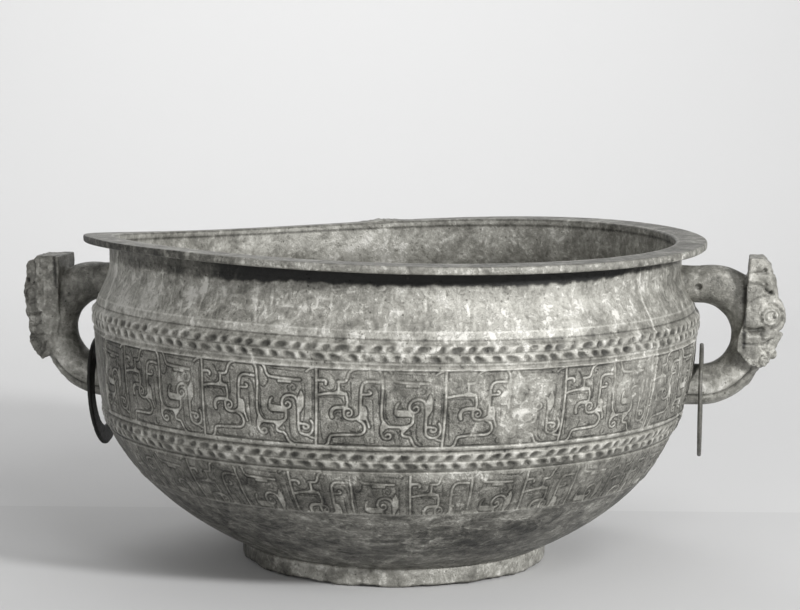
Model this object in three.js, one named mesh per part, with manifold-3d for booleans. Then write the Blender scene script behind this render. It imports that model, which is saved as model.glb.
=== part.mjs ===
// Ritual water basin of cast bronze: a wide bowl on a low foot ring, a flat lip, two plaited
// cords, bands of interlaced dragons, and two loop handles with animal masks and loose rings.
// Millimetres, +Z up, origin at the centre of the foot's underside, +X to the right handle.

import * as THREE from "three";
import { mergeVertices } from "three/addons/utils/BufferGeometryUtils.js";
import Module from "manifold-3d";

const wasm = await Module();
wasm.setup();

// Basin: height above the table, radii from the axis, and steps from the rim and the shoulder
const rimHeight = 217.8;
const shoulderRadius = 203.9;
const neckInset = 11;
const lipOverhang = 17.1;
const lipThickness = 4.8;
const lipEdgeRound = 0.6;
const wall = 3.8;
const neckDepth = 16.8;
const shoulderDepth = 51.8;
const footRadius = 104;
const footHeight = 13.5;
const footWall = 7;
const footEdgeRound = 1;
const footJoint = 1.5;
const floorThickness = 4.2;
const undersideRise = 8;
const floorDish = 0.5;
const flatFloorShare = 0.82;

// The bowl's curve is a superellipse that runs from the shoulder down to the foot
const bowlCurveDrop = 27.4;
const bowlCurveDepth = 213.2;
const bowlFullness = 3.475;
const bowlBreadth = 1.132;

// Casting relief on the outside: heights of the bands and cords, each set out below the rim
const neckBandTop = rimHeight - 12.8;
const neckBandBottom = rimHeight - 37.8;
const upperCordTop = rimHeight - 46.9;
const upperCordBottom = rimHeight - 56.6;
const mainBandTop = rimHeight - 62.3;
const mainBandBottom = rimHeight - 109.4;
const lowerCordTop = rimHeight - 113.2;
const lowerCordBottom = rimHeight - 123.3;
const lowerBandTop = rimHeight - 127.5;
const lowerBandBottom = rimHeight - 154.2;
const cordRise = 1.7;
const ribbonRise = 0.9;
const borderRise = 0.7;
const patternRepeats = 16;
const columnsPerRepeat = 5;
const reliefClearAngle = 0.125;

// Levels of a cord's rows as shares of its height: edge, crest, seam, crest, edge
const [cordFoot, lowCrest, cordSeam, highCrest, cordHead] = [0, 0.28, 0.5, 0.72, 1];
const cordLevels = [cordFoot, lowCrest, cordSeam, highCrest, cordHead];

// The cast is not quite true: its mouth is warped like a saddle, and mouth and belly lean left
const saddleRise = 4.4;
const saddlePeak = THREE.MathUtils.degToRad(43);
const saddleStartHeight = 20;
const mouthTilt = 2.8;
const mouthTiltPeak = THREE.MathUtils.degToRad(-49);
const mouthRipple = 1.1;
const mouthRipplePeak = THREE.MathUtils.degToRad(80);
const mouthLean = -0.9;
const bellyLean = -2.6;
const bellyLeanHeight = 88;
const bellyLeanReach = 30;

// Loop handle: a round arm bent round a nearly circular finger hole
const holeOffset = 1.6;
const holeDrop = 60;
const holeRadius = 20.6;
const armRadius = 12.4;
const lowerArmExtra = 2.7;
const upperArmExtra = 4;
const armRootDepth = 9;
const handleGap = 0.3;
const leftHandleDrop = 6.5;
const leftHandleInset = 1.2;
const leftHandleTilt = THREE.MathUtils.degToRad(2.5);

// Animal mask on the outside of each handle
const maskBackOffset = 29.5;
const maskDepth = 26;
const maskTopDrop = 7.8;
const maskHeight = 73.8;
const maskWidth = 38;
const maskEdgeRound = 3;
const maskFrontShare = 0.38;

// Loose ring: a flat annulus that hangs round the lower arm
const ringOuterRadius = 38;
const ringInnerRadius = 24.8;
const ringThickness = 2.8;
const ringEdge = 0.8;
const ringWallGap = 1.7;
const ringRest = 0.6;
const leftRingRest = 1.5;
const leftRingStep = 1.1;
const leftRingTilt = THREE.MathUtils.degToRad(5);
const leftRingTwist = THREE.MathUtils.degToRad(3);

const columns = patternRepeats * columnsPerRepeat;
const neckRadius = shoulderRadius - neckInset;
const rimRadius = neckRadius + lipOverhang;
const neckBaseHeight = rimHeight - neckDepth;
const shoulderHeight = rimHeight - shoulderDepth;
const bowlCurveTop = rimHeight - bowlCurveDrop;
const armPathRadius = holeRadius + armRadius;
const holeReach = shoulderRadius + holeOffset;
const holeHeight = rimHeight - holeDrop;
const armRootReach = neckRadius - armRootDepth;
const maskBackReach = holeReach + maskBackOffset;
const maskTop = rimHeight - maskTopDrop;
const ringReach = shoulderRadius + ringWallGap + ringThickness / 2;

const bronze = (name, color, roughness) =>
  new THREE.MeshStandardMaterial({ name, color, roughness, metalness: 0.55 });

// Outer radius of the plain wall at a height, from the foot to the lip
function wallRadius(z) {
  if (z >= neckBaseHeight) return neckRadius;
  if (z >= shoulderHeight) {
    const share = (z - shoulderHeight) / (neckBaseHeight - shoulderHeight);
    const blend = 0.5 - 0.5 * Math.cos(Math.PI * share);
    return shoulderRadius + (neckRadius - shoulderRadius) * blend;
  }
  const depth = Math.max(0, (bowlCurveTop - z) / bowlCurveDepth);
  const top = (bowlCurveTop - shoulderHeight) / bowlCurveDepth;
  const curve = (t) => (1 - t ** bowlFullness) ** (1 / bowlBreadth);
  return (shoulderRadius * curve(depth)) / curve(top);
}

// Point of the inner wall, one wall thickness in from the outer wall along its normal
function innerWallPoint(z) {
  const step = 0.5;
  const slope = (wallRadius(z + step) - wallRadius(z - step)) / (2 * step);
  const length = Math.hypot(1, slope);
  return new THREE.Vector2(wallRadius(z) - wall / length, z + (wall * slope) / length);
}

// Saddle, tilt and ripple of the mouth, and lean of mouth and belly
function warp(point) {
  const angle = Math.atan2(point.y, point.x);
  const reach = Math.hypot(point.x, point.y) / rimRadius;
  const height = Math.max(0, point.z - saddleStartHeight) / (rimHeight - saddleStartHeight);
  const lean = (point.z - bellyLeanHeight) / bellyLeanReach;
  point.x += bellyLean * Math.exp(-lean * lean) + mouthLean * height ** 8;
  point.z += saddleRise * reach ** 2 * height ** 2.5 * Math.cos(2 * (angle - saddlePeak));
  point.z += mouthTilt * reach * height ** 6 * Math.cos(angle - mouthTiltPeak);
  point.z += mouthRipple * reach ** 3 * height ** 6 * Math.cos(3 * (angle - mouthRipplePeak));
  return point;
}

// Geometry with shared vertices merged and empty triangles dropped
function weld(geometry) {
  const bare = geometry.clone();
  bare.deleteAttribute("normal");
  bare.deleteAttribute("uv");
  const merged = mergeVertices(bare, 1e-4);
  const index = merged.index.array;
  const kept = [];
  for (let i = 0; i < index.length; i += 3) {
    const [a, b, c] = [index[i], index[i + 1], index[i + 2]];
    if (a !== b && b !== c && c !== a) kept.push(a, b, c);
  }
  merged.setIndex(kept);
  return merged;
}

function solidOf(geometry) {
  const merged = weld(geometry);
  const vertProperties = new Float32Array(merged.attributes.position.array);
  const triVerts = new Uint32Array(merged.index.array);
  return new wasm.Manifold(new wasm.Mesh({ numProp: 3, vertProperties, triVerts }));
}

function geometryOf(solid) {
  const mesh = solid.getMesh();
  const geometry = new THREE.BufferGeometry();
  geometry.setAttribute("position", new THREE.BufferAttribute(mesh.vertProperties, 3));
  geometry.setIndex(new THREE.BufferAttribute(mesh.triVerts, 1));
  geometry.computeVertexNormals();
  return geometry;
}

function namedMesh(name, geometry, material) {
  const mesh = new THREE.Mesh(geometry, material);
  mesh.name = name;
  return mesh;
}

// Lathe about Z: the profile runs up the outside and down the inside
function turned(profile, segments) {
  const geometry = new THREE.LatheGeometry(profile, segments);
  geometry.rotateX(Math.PI / 2);
  return geometry;
}

function eachVertex(geometry, change) {
  const position = geometry.attributes.position;
  const point = new THREE.Vector3();
  for (let i = 0; i < position.count; i += 1) {
    point.fromBufferAttribute(position, i);
    change(point);
    position.setXYZ(i, point.x, point.y, point.z);
  }
  return geometry;
}

// Relief of the outside at a column and height: plaited cords, borders and ribbons
function reliefAt(column, z, angle) {
  const toHandle = Math.min(Math.abs(angle), Math.PI - Math.abs(angle));
  const odd = column % 2 === 1;
  const cordRow = (bottom, top) => {
    const level = (z - bottom) / (top - bottom);
    if (level > (cordSeam + highCrest) / 2) return odd ? cordRise * 0.35 : cordRise;
    return level < (cordSeam + lowCrest) / 2 ? (odd ? cordRise : cordRise * 0.35) : cordRise * 0.45;
  };
  const within = (bottom, top) => z > bottom + 0.01 && z < top - 0.01;
  if (within(upperCordBottom, upperCordTop)) return cordRow(upperCordBottom, upperCordTop);
  if (within(lowerCordBottom, lowerCordTop)) return cordRow(lowerCordBottom, lowerCordTop);
  if (toHandle < reliefClearAngle) return 0;
  const ribbon = (bottom, top, rows) => {
    if (z < bottom - 0.01 || z > top + 0.01) return 0;
    const row = Math.round(((z - bottom) / (top - bottom)) * rows);
    if (row === 0 || row === rows) return borderRise;
    return (column + 2 * row) % columnsPerRepeat < 2 ? ribbonRise : 0;
  };
  return (
    ribbon(mainBandBottom, mainBandTop, 5) +
    ribbon(lowerBandBottom, lowerBandTop, 3) +
    ribbon(neckBandBottom, neckBandTop, 2)
  );
}

// Heights of the rows of vertices on the outside, from the foot's joint to the lip
function outsideHeights() {
  const steps = (bottom, top, levels) => levels.map((level) => bottom + (top - bottom) * level);
  const even = (bottom, top, rows) =>
    Array.from({ length: rows + 1 }, (_, row) => bottom + ((top - bottom) * row) / rows);
  return [
    footHeight + footJoint,
    footHeight + (lowerBandBottom - footHeight) * 0.28,
    footHeight + (lowerBandBottom - footHeight) * 0.6,
    ...even(lowerBandBottom, lowerBandTop, 3),
    ...steps(lowerCordBottom, lowerCordTop, cordLevels),
    ...even(mainBandBottom, mainBandTop, 5),
    ...steps(upperCordBottom, upperCordTop, cordLevels),
    ...even(neckBandBottom, neckBandTop, 2),
    rimHeight - lipThickness,
  ];
}

function basin() {
  const outside = outsideHeights();
  const bottomInside = undersideRise + floorThickness;
  const insideHeights = [0.88, 0.72, 0.45, 0.24, 0.09].map(
    (share) => footHeight + (rimHeight - footHeight) * share,
  );
  const lipInnerRadius = neckRadius - wall;
  const profile = [
    new THREE.Vector2(0, undersideRise),
    new THREE.Vector2(footRadius - footWall, undersideRise),
    new THREE.Vector2(footRadius - footWall, 0),
    new THREE.Vector2(footRadius - footEdgeRound, 0),
    new THREE.Vector2(footRadius, footHeight - footJoint),
    ...outside.map((z) => new THREE.Vector2(wallRadius(z), z)),
    new THREE.Vector2(rimRadius - lipEdgeRound, rimHeight - lipThickness),
    new THREE.Vector2(rimRadius, rimHeight - lipEdgeRound),
    new THREE.Vector2(lipInnerRadius, rimHeight),
    ...insideHeights.map(innerWallPoint),
    new THREE.Vector2(wallRadius(footHeight) * flatFloorShare, bottomInside + floorDish),
    new THREE.Vector2(0, bottomInside),
  ];
  const geometry = turned(profile, columns);
  const heights = new Set(outside.map((z) => Math.fround(z)));
  eachVertex(geometry, (point) => {
    const radius = Math.hypot(point.x, point.y);
    const onOutside = heights.has(Math.fround(point.z)) && radius > wallRadius(point.z) - 0.5;
    const angle = Math.atan2(point.y, point.x);
    if (onOutside && point.z < rimHeight - lipThickness) {
      const column = Math.round((angle / (2 * Math.PI)) * columns + columns) % columns;
      const grown = 1 + reliefAt(column, point.z, angle) / radius;
      point.x *= grown;
      point.y *= grown;
    }
    warp(point);
  });
  return namedMesh("basin", geometryOf(solidOf(geometry)), bronze("basin bronze", 0x6d6f63, 0.72));
}

// The basin's outside with whole cords, grown by the gap, which trims the handles' ends
function handleTrimmer() {
  const heights = outsideHeights();
  const onCord = (z) =>
    (z > lowerCordBottom && z < lowerCordTop) || (z > upperCordBottom && z < upperCordTop);
  const reach = (z) => wallRadius(z) + handleGap + (onCord(z) ? cordRise : 0);
  const profile = [
    new THREE.Vector2(0, heights[0]),
    ...heights.map((z) => new THREE.Vector2(reach(z), z)),
    new THREE.Vector2(0, heights[heights.length - 1]),
  ];
  return solidOf(eachVertex(turned(profile, columns), warp));
}

// Arm of the handle: a round bar bent round the finger hole, thicker in its lower half
function handleArm() {
  const turns = 12;
  const points = [new THREE.Vector3(armRootReach, 0, holeHeight + armPathRadius)];
  for (let turn = 0; turn <= turns; turn += 1) {
    const angle = Math.PI / 2 - (Math.PI * turn) / turns;
    const x = holeReach + armPathRadius * Math.cos(angle);
    points.push(new THREE.Vector3(x, 0, holeHeight + armPathRadius * Math.sin(angle)));
  }
  points.push(new THREE.Vector3(armRootReach, 0, holeHeight - armPathRadius));
  const section = new THREE.Shape().absarc(0, 0, armRadius, 0, 2 * Math.PI);
  const extrudePath = new THREE.CatmullRomCurve3(points, false, "centripetal");
  const bar = new THREE.ExtrudeGeometry(section, { steps: 12, curveSegments: 6, extrudePath });
  eachVertex(bar, (point) => {
    const out = new THREE.Vector2(Math.max(0, point.x - holeReach), point.z - holeHeight);
    const across = Math.max(0, out.length() - holeRadius) / (2 * armRadius);
    const turn = out.angle();
    const below = Math.max(0, -Math.sin(turn)) ** 3;
    const extra = point.z > holeHeight ? upperArmExtra * Math.sin(2 * turn) : lowerArmExtra * below;
    out.setLength(Math.max(0, extra) * across);
    point.x += out.x;
    point.z += out.y;
  });
  return solidOf(bar);
}

// Side view of the mask: [share of its depth, share of its height] from the top of its back
const maskOutline = [
  [0, 1], [0.45, 1], [0.6, 0.92], [0.66, 0.8], [0.8, 0.68], [0.94, 0.6], [1, 0.49],
  [0.94, 0.41], [0.74, 0.37], [0.92, 0.3], [0.8, 0.2], [0.7, 0.13], [0.68, 0.04],
  [0.4, 0], [0.2, 0.07], [0, 0.17],
];

// The mask narrows from its back to its snout
function maskWidthShare(depth) {
  return 1 - (1 - maskFrontShare) * Math.max(0, depth) ** 1.5;
}

// Angle that the side of the mask makes with its depth
function maskSideTurn(depth) {
  const slope = (1.5 * (1 - maskFrontShare) * Math.sqrt(depth) * maskWidth) / 2 / maskDepth;
  return Math.atan(slope);
}

function maskPoint(depth, side, height) {
  const x = maskBackReach + maskDepth * depth;
  const y = (maskWidth / 2) * side * maskWidthShare(depth);
  return new THREE.Vector3(x, y, maskTop - maskHeight * (1 - height));
}

function animalMask() {
  const outline = maskOutline.map(([depth, height]) => {
    const point = maskPoint(depth, 0, height);
    return new THREE.Vector2(point.x, point.z);
  });
  const block = new THREE.ExtrudeGeometry(new THREE.Shape(outline), {
    depth: maskWidth - 2 * maskEdgeRound,
    bevelThickness: maskEdgeRound,
    bevelSize: maskEdgeRound * 0.8,
    bevelOffset: -maskEdgeRound * 0.8,
    bevelSegments: 1,
  });
  block.rotateX(Math.PI / 2);
  block.translate(0, maskWidth / 2 - maskEdgeRound, 0);
  eachVertex(block, (point) => {
    point.y *= maskWidthShare((point.x - maskBackReach) / maskDepth);
  });
  let mask = solidOf(block);
  const raise = (geometry, place) => {
    geometry.translate(place.x, place.y, place.z);
    mask = mask.add(solidOf(geometry));
  };
  for (const side of [-1, 1]) {
    const turn = -side * maskSideTurn(0.5);
    const cheek = new THREE.TorusGeometry(maskHeight * 0.095, maskHeight * 0.036, 4, 9);
    raise(cheek.rotateX(Math.PI / 2).rotateZ(turn), maskPoint(0.5, side * 0.93, 0.5));
    const curl = new THREE.TorusGeometry(maskHeight * 0.045, maskHeight * 0.022, 4, 7);
    raise(curl.rotateX(Math.PI / 2).rotateZ(turn), maskPoint(0.5, side * 0.88, 0.12));
    const eye = new THREE.SphereGeometry(maskHeight * 0.062, 7, 5);
    raise(eye, maskPoint(0.6, side * 0.5, 0.76));
    const horn = new THREE.CapsuleGeometry(maskHeight * 0.035, maskHeight * 0.12, 2, 6);
    raise(horn.rotateX(Math.PI / 2.6), maskPoint(0.42, side * 0.66, 0.92));
    const fang = new THREE.ConeGeometry(maskHeight * 0.032, maskHeight * 0.12, 6);
    raise(fang.rotateX(Math.PI / 2), maskPoint(0.76, side * 0.5, 0.2));
  }
  const snout = new THREE.CapsuleGeometry(maskHeight * 0.07, maskHeight * 0.24, 2, 8);
  raise(snout.rotateX(Math.PI / 2), maskPoint(0.84, 0, 0.52));
  const mouth = new THREE.BoxGeometry(maskDepth * 0.62, maskWidth * 1.2, maskHeight * 0.035);
  const place = maskPoint(0.78, 0, 0.24);
  mouth.translate(place.x, place.y, place.z);
  return mask.subtract(solidOf(mouth));
}

function handlePlace(side) {
  const place = new THREE.Matrix4();
  if (side > 0) return place;
  const out = new THREE.Matrix4().makeTranslation(neckRadius, 0, holeHeight);
  const tilt = new THREE.Matrix4().makeRotationY(leftHandleTilt);
  const back = new THREE.Matrix4().makeTranslation(-neckRadius, 0, -holeHeight);
  const drop = new THREE.Matrix4().makeTranslation(-leftHandleInset, 0, -leftHandleDrop);
  const about = new THREE.Matrix4().makeRotationZ(Math.PI);
  return place.multiply(about).multiply(drop).multiply(out).multiply(tilt).multiply(back);
}

function handle(name, side, trimmer) {
  const whole = geometryOf(handleArm().add(animalMask()));
  whole.applyMatrix4(handlePlace(side));
  const trimmed = solidOf(whole).subtract(trimmer);
  return namedMesh(name, geometryOf(trimmed), bronze("handle bronze", 0x64665c, 0.7));
}

// Middle of the lower arm where the ring hangs, which the ring swings about
function ringPivot(side) {
  const armMiddle = holeHeight - armPathRadius - lowerArmExtra / 2;
  const right = new THREE.Vector3(ringReach, 0, armMiddle);
  if (side > 0) return right;
  const level = right.clone().applyMatrix4(handlePlace(side)).z;
  return new THREE.Vector3(-ringReach - leftRingStep, 0, level);
}

function looseRing(name, side) {
  const half = ringThickness / 2;
  const profile = [
    new THREE.Vector2(ringInnerRadius, 0),
    new THREE.Vector2(ringInnerRadius + ringEdge, -half),
    new THREE.Vector2(ringOuterRadius - ringEdge, -half),
    new THREE.Vector2(ringOuterRadius, 0),
    new THREE.Vector2(ringOuterRadius - ringEdge, half),
    new THREE.Vector2(ringInnerRadius + ringEdge, half),
    new THREE.Vector2(ringInnerRadius, 0),
  ];
  const geometry = turned(profile, 28).rotateY(Math.PI / 2);
  const rest = side > 0 ? ringRest : leftRingRest;
  const hangs = ringInnerRadius - armRadius - lowerArmExtra / 2 - rest;
  geometry.translate(0, 0, -hangs);
  const mesh = namedMesh(name, geometryOf(solidOf(geometry)), bronze("ring bronze", 0x3f403b, 0.6));
  mesh.position.copy(ringPivot(side));
  if (side < 0) mesh.rotation.set(0, -leftRingTilt, leftRingTwist, "ZYX");
  return mesh;
}

const trimmer = handleTrimmer();
const waterBasin = new THREE.Group();
waterBasin.name = "ritual_water_basin";
waterBasin.add(basin());
waterBasin.add(handle("handle_left", -1, trimmer));
waterBasin.add(handle("handle_right", 1, trimmer));
waterBasin.add(looseRing("ring_left", -1));
waterBasin.add(looseRing("ring_right", 1));

export default waterBasin;
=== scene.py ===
# Ritual water basin of cast bronze, standing empty on its foot ring under plain studio light.
# Metres, +Z up, origin under the middle of the foot, +X towards the right handle.

from math import atan2, cos, hypot, pi, radians, sin

import bpy
import numpy as np
from mathutils import Matrix


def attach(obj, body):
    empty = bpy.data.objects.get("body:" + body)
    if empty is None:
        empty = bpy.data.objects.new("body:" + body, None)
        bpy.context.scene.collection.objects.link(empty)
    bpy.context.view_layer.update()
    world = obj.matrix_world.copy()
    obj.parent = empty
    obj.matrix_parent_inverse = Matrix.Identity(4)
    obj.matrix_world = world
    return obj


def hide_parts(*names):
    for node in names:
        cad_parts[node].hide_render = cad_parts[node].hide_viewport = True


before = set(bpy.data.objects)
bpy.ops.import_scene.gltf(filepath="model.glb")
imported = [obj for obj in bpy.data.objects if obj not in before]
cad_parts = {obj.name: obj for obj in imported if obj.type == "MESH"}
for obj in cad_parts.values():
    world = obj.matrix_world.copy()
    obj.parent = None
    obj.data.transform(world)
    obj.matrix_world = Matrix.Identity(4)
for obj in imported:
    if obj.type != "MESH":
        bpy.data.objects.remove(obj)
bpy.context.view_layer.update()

MM = 0.001

# Wall of the basin
# The body is one bronze casting with a wall of nearly 4 mm: a full bowl under a short neck.
# It came out of its mould slightly untrue, so its mouth is warped and its belly leans left.
RIM_HEIGHT = 217.8
LIP_RADIUS = 210.0
NECK_RADIUS = 192.9
SHOULDER_RADIUS = 203.9
NECK_BASE = 201.0
SHOULDER_HEIGHT = 166.0
CURVE_TOP = 190.4
CURVE_DEPTH = 213.2
CURVE_POWER = 3.475
CURVE_ROUND = 1.132
DEGREE_WIDTH = 3.5
BELLY_FOOT = 13.5
WALL = 3.8

# How far the casting is out of true, in millimetres, and which way round in degrees
WARP_START = 20
SADDLE, SADDLE_TURN = 4.4, 43
TILT, TILT_TURN = 2.8, -49
RIPPLE, RIPPLE_TURN = 1.1, 80
LEAN, LEAN_HEIGHT, LEAN_SPREAD = 2.6, 88, 30
MOUTH_SHIFT = 0.9


def ramp(low, high, value):
    """Nought up to the low value, one from the high value on, and smooth between."""
    share = np.clip((value - low) / (high - low), 0, 1)
    return share * share * (3 - 2 * share)


def peak(value, middle, spread):
    """One at the middle value, falling smoothly to nothing on both sides."""
    return np.exp(-(((value - middle) / spread) ** 2))


def signed(turn):
    """The same turn in degrees, between -180 and 180."""
    return (turn + 180) % 360 - 180


def wall_radius(z):
    """Outer radius of the plain wall at a height, both in millimetres."""
    z = np.asarray(z, float)
    share = np.clip((z - SHOULDER_HEIGHT) / (NECK_BASE - SHOULDER_HEIGHT), 0, 1)
    neck = SHOULDER_RADIUS + (NECK_RADIUS - SHOULDER_RADIUS) * (0.5 - 0.5 * np.cos(np.pi * share))
    top = (CURVE_TOP - SHOULDER_HEIGHT) / CURVE_DEPTH
    depth = np.clip((CURVE_TOP - z) / CURVE_DEPTH, 0, 1)
    curve = lambda t: (1 - t ** CURVE_POWER) ** (1 / CURVE_ROUND)
    return np.where(z >= SHOULDER_HEIGHT, neck, SHOULDER_RADIUS * curve(depth) / curve(top))


def side_lean(z):
    """How far the casting leans to the left at a height, in millimetres."""
    height = np.clip((z - WARP_START) / (RIM_HEIGHT - WARP_START), 0, None)
    return LEAN * peak(z, LEAN_HEIGHT, LEAN_SPREAD) + MOUTH_SHIFT * height ** 8


def cast_warp(x, y, z):
    """Where a point of the true shape ended up in the casting, in millimetres."""
    angle = np.arctan2(y, x)
    reach = np.hypot(x, y) / LIP_RADIUS
    height = np.clip((z - WARP_START) / (RIM_HEIGHT - WARP_START), 0, None)
    saddle = SADDLE * reach ** 2 * height ** 2.5 * np.cos(2 * (angle - radians(SADDLE_TURN)))
    tilt = TILT * reach * height ** 6 * np.cos(angle - radians(TILT_TURN))
    ripple = RIPPLE * reach ** 3 * height ** 6 * np.cos(3 * (angle - radians(RIPPLE_TURN)))
    return x - side_lean(z), y, z + saddle + tilt + ripple


def uneven(points, size, seed):
    """Smooth random swell over points in millimetres, mostly between -1 and 1."""
    chance = np.random.default_rng(seed)
    total = np.zeros(len(points))
    for _ in range(14):
        heading = chance.normal(size=3)
        heading *= 2 * np.pi / (np.linalg.norm(heading) * size * chance.uniform(0.6, 1.6))
        total += np.sin(points @ heading + chance.uniform(0, 2 * np.pi))
    return total / 5.3


def placed(name, data):
    """A new object of the scene from a mesh, a lamp or a lens."""
    thing = bpy.data.objects.new(name, data)
    bpy.context.scene.collection.objects.link(thing)
    return thing


def bronze_piece(name, points, faces, marks, finish, body="vessel",
                 nodes=("basin",)):
    """A mesh piece from points in millimetres, with its surface marks and finish, joined to its
    body and hiding the parts of the model that it replaces.
    """
    mesh = bpy.data.meshes.new(name)
    mesh.from_pydata((points * MM).tolist(), [], faces.tolist())
    for mark, values in marks.items():
        layer = mesh.attributes.new(mark, "FLOAT", "POINT")
        layer.data.foreach_set("value", np.asarray(values, np.float32))
    mesh.shade_smooth()
    mesh.materials.append(finish)
    piece = placed(name, mesh)
    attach(piece, body)
    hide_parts(*nodes)


def sheet_faces(rows, columns, closed=False):
    """Four-sided faces of a grid of points, row by row, closed round its columns or not."""
    row = np.arange(rows - 1)[:, None]
    column = np.arange(columns if closed else columns - 1)[None, :]
    after = (column + 1) % columns
    corners = [row * columns + column, row * columns + after,
               (row + 1) * columns + after, (row + 1) * columns + column]
    return np.stack([c.ravel() for c in np.broadcast_arrays(*corners)], 1)


# Bronze finish
# Old bronze under a dull grey-brown skin, with pale corrosion, dark dirt in the hollows and
# a fine granular ground on the cast ribbons; the groove mark also holds painted shade behind
# the handle masks. The lightness follows the photograph.
class Skin:
    """A value that changes over the surface, which can be reckoned with like a number."""

    def __init__(self, tree, socket=None):
        self.tree = tree
        self.socket = socket

    def node(self, kind, settings, sockets, out=0):
        made = self.tree.nodes.new("ShaderNode" + kind)
        for name, value in settings.items():
            if name == "stops":
                while len(made.color_ramp.elements) < len(value):
                    made.color_ramp.elements.new(0.5)
                for stop, (place, colour) in zip(made.color_ramp.elements, value):
                    stop.position = place
                    stop.color = (*colour, 1)
            else:
                setattr(made, name, value)
        for name, value in sockets.items():
            if isinstance(value, Skin):
                self.tree.links.new(value.socket, made.inputs[name])
            else:
                made.inputs[name].default_value = value
        return Skin(self.tree, None if out is None else made.outputs[out])

    def math(self, operation, *parts):
        return self.node("Math", {"operation": operation}, dict(enumerate(parts)))

    def __add__(self, other):
        return self.math("ADD", self, other)

    def __sub__(self, other):
        return self.math("SUBTRACT", self, other)

    def __rsub__(self, other):
        return self.math("SUBTRACT", other, self)

    def __mul__(self, other):
        return self.math("MULTIPLY", self, other)

    __radd__ = __add__
    __rmul__ = __mul__

    def between(self, low, high):
        limits = {"Value": self, "From Min": low, "From Max": high}
        return self.node("MapRange", {"interpolation_type": "SMOOTHSTEP"}, limits)

    def cloud(self, size, detail=3.0, rough=0.55, stretch=(1, 1, 1), swirl=0.0):
        """Cloudy patches of about that size in millimetres, from -1 to 1."""
        scaled = self.node("VectorMath", {"operation": "MULTIPLY"}, {0: self, 1: stretch})
        sockets = {"Vector": scaled, "Scale": 1 / (size * MM), "Detail": detail,
                   "Roughness": rough, "Distortion": swirl}
        return self.node("TexNoise", {}, sockets) * 2 - 1

    def mark(self, name):
        return self.node("Attribute", {"attribute_name": name}, {}, out="Fac")


def patina(name, lightness, contrast, gloss, shades, run=(1, 1, 0.6), streaks=0.12, layers=0.0):
    """Finish of one part of the bronze: lightness, mottling, gloss, shades, streaks and layers."""
    material = bpy.data.materials.new(name)
    material.use_nodes = True
    material.node_tree.nodes.clear()
    skin = Skin(material.node_tree)
    place = skin.node("TexCoord", {}, {}, out="Object")
    pale, groove, grain = place.mark("pale"), place.mark("groove"), place.mark("grain")
    tone, crust = place.mark("tone"), place.mark("crust")
    broad = place.cloud(46, 6, 0.6, swirl=0.8)
    middle = place.cloud(15, 6, 0.6, swirl=1.2)
    small = place.cloud(6, 5, 0.6, swirl=0.8)
    fine = place.cloud(2.6, 4, 0.65)
    grit = place.cloud(0.9, 3, 0.7)
    streak = place.cloud(8, 6, 0.68, stretch=run, swirl=0.6)
    speck = place.cloud(2.2, 2, 0.6)
    to_pit = place.node("TexVoronoi", {}, {"Vector": place, "Scale": 1 / (6 * MM)})
    pit = (0.14 - to_pit).between(0, 0.08)
    light = (lightness + tone + broad * (0.26 * contrast) + middle * (0.34 * contrast)
             + small * (0.26 * contrast) + fine * (0.18 * contrast) + grit * (0.1 * contrast)
             + streak * (streaks * contrast))
    light = light + pale * 0.27 - groove * 0.34 + grain * grit * 0.26
    light = light + speck.between(0.2, 0.34) * (0.05 * contrast)
    light = light - (0 - speck).between(0.2, 0.34) * (0.11 * contrast)
    flakes = (fine * 0.8 + small * 0.8 + middle * 0.6 + crust * 0.3 - 0.3).between(0, 0.25)
    light = light + crust * flakes * 0.12 - pit * 0.2
    if layers:
        layer = place.cloud(19, 5, 0.6, stretch=run, swirl=0.7) + small * 0.12
        edge = layer.math("ABSOLUTE", layer).between(0.05, 0.0)
        light = light + edge * layers - layer.between(0.02, 0.16) * layers * 0.7
    colour = place.node("ValToRGB", {"stops": shades}, {"Fac": light})
    rough = (0.78 - gloss) + crust * flakes * 0.2 - light * 0.12 + fine * 0.08
    # Height of the fine bumps as a share of their greatest depth
    height = (fine * 0.3 + grit * 0.16 + small * 0.4 + middle * 0.5 + grain * grit * 0.5
              + streak * (streaks * 3) + crust * flakes * 0.5 - pit * 0.5)
    if layers:
        height = height + layer.between(-0.05, 0.05) * 0.9
    bump = place.node("Bump", {}, {"Strength": 0.8, "Distance": 0.7 * MM, "Height": height})
    surface = place.node("BsdfPrincipled", {}, {
        "Base Color": colour, "Roughness": rough, "Metallic": 0.2, "Normal": bump})
    surface.node("OutputMaterial", {}, {"Surface": surface}, out=None)
    return material


basin_shades = [
    (0.0, (0.006, 0.006, 0.005)), (0.22, (0.035, 0.034, 0.029)), (0.45, (0.115, 0.112, 0.098)),
    (0.65, (0.235, 0.23, 0.205)), (0.85, (0.42, 0.412, 0.375)), (1.0, (0.62, 0.61, 0.57)),
]
basin_bronze = patina("basin_bronze", 0.59, 1.0, 0.2, basin_shades)
belly_bronze = patina("belly_bronze", 0.6, 1.05, 0.24, basin_shades, run=(0.55, 0.55, 1.7),
                      streaks=0.42, layers=0.13)

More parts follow.
